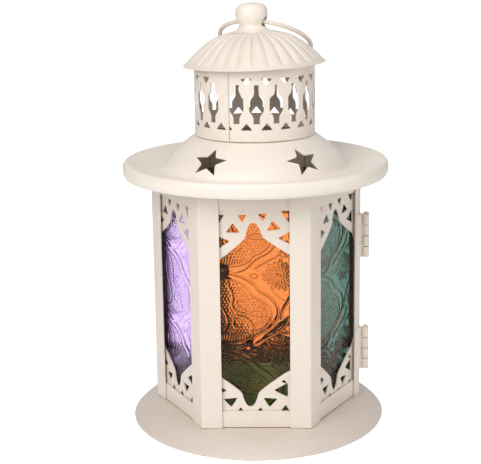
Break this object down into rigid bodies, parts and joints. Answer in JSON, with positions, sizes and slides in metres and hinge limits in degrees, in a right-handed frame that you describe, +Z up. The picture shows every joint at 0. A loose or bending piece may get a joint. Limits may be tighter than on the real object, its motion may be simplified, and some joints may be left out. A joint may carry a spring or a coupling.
{
  "type": "lantern",
  "caption": "Hexagonal metal lantern with coloured embossed glass panes, ogee fretwork, side-hinged door, pierced gallery, fluted cap and carrying ring.",
  "frame": {"origin": "centre of the base plate's rim, on the surface it stands on", "axes": "+Z up along the lantern's axis; -Y out of the front pane; +X through the hinged corner"},
  "size_m": [0.1604, 0.1604, 0.2545],
  "materials": {
    "ivory_enamel": "semi-gloss enamel on steel sheet",
    "plain_steel": "plain zinc-plated steel",
    "glass_front": "embossed, colour in the glass",
    "glass_front_right": "embossed, colour in the glass",
    "glass_back_right": "embossed, colour in the glass",
    "glass_back": "embossed, colour in the glass",
    "glass_back_left": "embossed, colour in the glass",
    "glass_front_left": "embossed, colour in the glass"
  },
  "bodies": {
    "lantern": {"base_plate": "ivory_enamel", "corner_post_right": "ivory_enamel", "corner_post_back_right": "ivory_enamel", "corner_post_back_left": "ivory_enamel", "corner_post_left": "ivory_enamel", "corner_post_front_left": "ivory_enamel", "corner_post_front_right": "ivory_enamel", "bottom_rail_front": "ivory_enamel", "top_rail_front": "ivory_enamel", "top_fretwork_front": "ivory_enamel", "bottom_fretwork_front": "ivory_enamel", "bottom_rail_front_right": "ivory_enamel", "top_rail_front_right": "ivory_enamel", "top_fretwork_front_right": "ivory_enamel", "bottom_fretwork_front_right": "ivory_enamel", "bottom_rail_back": "ivory_enamel", "top_rail_back": "ivory_enamel", "top_fretwork_back": "ivory_enamel", "bottom_fretwork_back": "ivory_enamel", "bottom_rail_back_left": "ivory_enamel", "top_rail_back_left": "ivory_enamel", "top_fretwork_back_left": "ivory_enamel", "bottom_fretwork_back_left": "ivory_enamel", "bottom_rail_front_left": "ivory_enamel", "top_rail_front_left": "ivory_enamel", "top_fretwork_front_left": "ivory_enamel", "bottom_fretwork_front_left": "ivory_enamel", "door_lintel": "ivory_enamel", "upper_hinge_fixed_leaf": "ivory_enamel", "lower_hinge_fixed_leaf": "ivory_enamel", "roof": "ivory_enamel", "gallery": "ivory_enamel", "dome_cap": "ivory_enamel", "finial_knob": "ivory_enamel", "candle_cup": "plain_steel", "upper_hinge_pin": "plain_steel", "lower_hinge_pin": "plain_steel", "glass_pane_front": "glass_front", "glass_pane_front_right": "glass_front_right", "glass_pane_back": "glass_back", "glass_pane_back_left": "glass_back_left", "glass_pane_front_left": "glass_front_left"},
    "door": {"door_frame": "ivory_enamel", "door_top_fretwork": "ivory_enamel", "door_bottom_fretwork": "ivory_enamel", "door_glass_pane": "glass_back_right", "upper_hinge_door_leaf": "ivory_enamel", "lower_hinge_door_leaf": "ivory_enamel", "latch_rivet": "plain_steel"},
    "latch": {"latch_tab": "ivory_enamel"},
    "ring": {"ring_handle": "ivory_enamel"}
  },
  "joints": [
    {"name": "door_hinge", "type": "hinge", "parent": "lantern", "child": "door", "pos_m": [0.0672, 0, 0.0805], "axis": [0, 0, -1], "range_deg": [0, 170]},
    {"name": "latch_turn", "type": "hinge", "parent": "door", "child": "latch", "pos_m": [0.03585, 0.04876, 0.086], "axis": [0.866, 0.5, 0], "range_deg": [-90, 90]},
    {"name": "ring_swing", "type": "hinge", "parent": "lantern", "child": "ring", "pos_m": [-0.0008, 0, 0.2435], "axis": [0.95, -0.3123, 0], "range_deg": [0, 240]}
  ]
}
